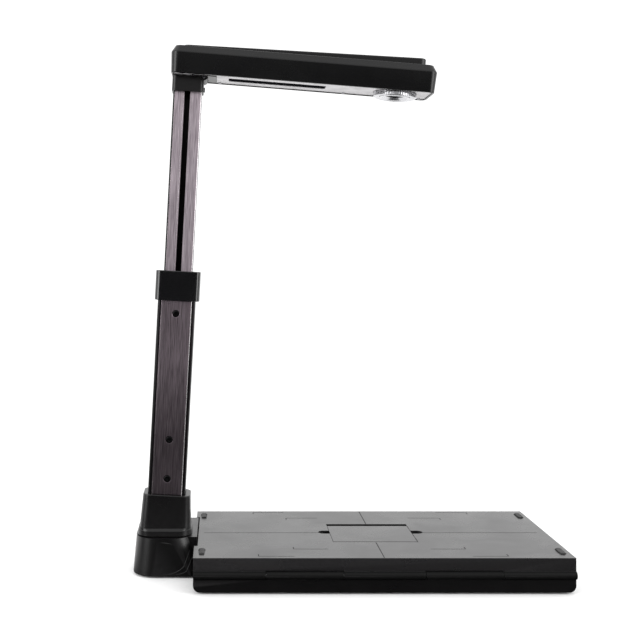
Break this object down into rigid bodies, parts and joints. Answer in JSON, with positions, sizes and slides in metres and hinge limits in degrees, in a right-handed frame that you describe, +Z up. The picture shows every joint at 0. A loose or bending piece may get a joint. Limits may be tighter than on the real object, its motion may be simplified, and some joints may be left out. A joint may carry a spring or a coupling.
{
  "type": "book scanner",
  "caption": "Folding desktop book scanner: hinged base board, leaning telescopic mast on a swivel foot, fold-down camera head with lamp and focus ring.",
  "frame": {"origin": "on the desk under the centre of the whole object's box at rest", "axes": "+X along the board from the mast to the free end, +Y away from the hinged front edge, +Z up"},
  "size_m": [0.375, 0.1624, 0.4713],
  "materials": {
    "satin_black": "satin moulded plastic",
    "board_top": "fine textured plastic with printed size marks",
    "gloss_black": "glossy moulded plastic",
    "rubber": "matte",
    "steel": "plain steel",
    "brushed_anodised": "brushed and anodised, slightly mauve",
    "dark_anodised": "dark anodised",
    "dark_screw": "black oxide",
    "white_plastic": "natural glide plastic",
    "silver_plate": "silver satin",
    "silver_ring": "bright turned and knurled",
    "brass": "plain",
    "circuit_board": "coated board",
    "dark_window": "smoked lamp window",
    "lens_glass": "coated lens glass"
  },
  "bodies": {
    "base": {"lower_board_shell": "satin_black", "lower_board_cover": "satin_black", "ballast_plate": "steel", "board_feet": "rubber", "cover_screws": "steel", "board_hinge_pin": "steel", "foot_housing": "satin_black", "foot_base_plate": "satin_black", "foot_pads": "rubber", "foot_screws": "steel", "arm_screws": "steel"},
    "leaf": {"leaf_shell": "board_top", "leaf_cover": "satin_black", "corner_pads": "rubber", "leaf_screws": "steel"},
    "flap": {"storage_flap": "board_top", "flap_pins": "steel"},
    "mast": {"swivel_ring": "satin_black", "swivel_shaft": "steel", "shaft_screws": "steel", "swivel_washer": "brass", "swivel_nut": "steel", "mast_socket": "satin_black", "mast_spine": "steel", "lower_tube": "dark_anodised", "lower_front_panel": "brushed_anodised", "spine_screws": "dark_screw", "guide_screw": "dark_screw", "collar": "gloss_black", "collar_liner": "white_plastic"},
    "upper_mast": {"upper_tube": "brushed_anodised", "glide_shoe": "white_plastic", "neck_block": "satin_black", "neck_screw": "dark_screw", "head_hinge_pin": "steel"},
    "head": {"head_shell": "satin_black", "head_lid": "satin_black", "underside_plate": "silver_plate", "led_window": "dark_window", "led_board": "circuit_board", "lens_barrel": "gloss_black", "lens_glass": "lens_glass", "sensor_board": "circuit_board", "main_board": "circuit_board", "usb_port": "steel", "hinge_washers": "brass", "head_screws": "steel"},
    "focus_ring": {"focus_ring": "silver_ring"}
  },
  "joints": [
    {"name": "leaf_fold", "type": "hinge", "parent": "base", "child": "leaf", "pos_m": [0.0275, -0.0779, 0.0156], "axis": [1, 0, 0], "range_deg": [0, 180]},
    {"name": "flap_lift", "type": "hinge", "parent": "leaf", "child": "flap", "pos_m": [0.0275, -0.0269, 0.028], "axis": [1, 0, 0], "range_deg": [0, 95]},
    {"name": "mast_swivel", "type": "hinge", "parent": "base", "child": "mast", "pos_m": [-0.1595, -0.0059, 0.0337], "axis": [0, 0, 1], "range_deg": [-90, 90]},
    {"name": "mast_slide", "type": "slide", "parent": "mast", "child": "upper_mast", "axis": [0.0523, 0, 0.9986], "range_m": [-0.15, 0]},
    {"name": "head_fold", "type": "hinge", "parent": "upper_mast", "child": "head", "pos_m": [-0.1242, -0.0059, 0.4427], "axis": [0, 1, 0], "range_deg": [0, 70]},
    {"name": "focus_ring_turn", "type": "hinge", "parent": "head", "child": "focus_ring", "pos_m": [0.04824, -0.0059, 0.42883], "axis": [0.0802, 0, 0.9968], "range_deg": [-45, 45]}
  ]
}
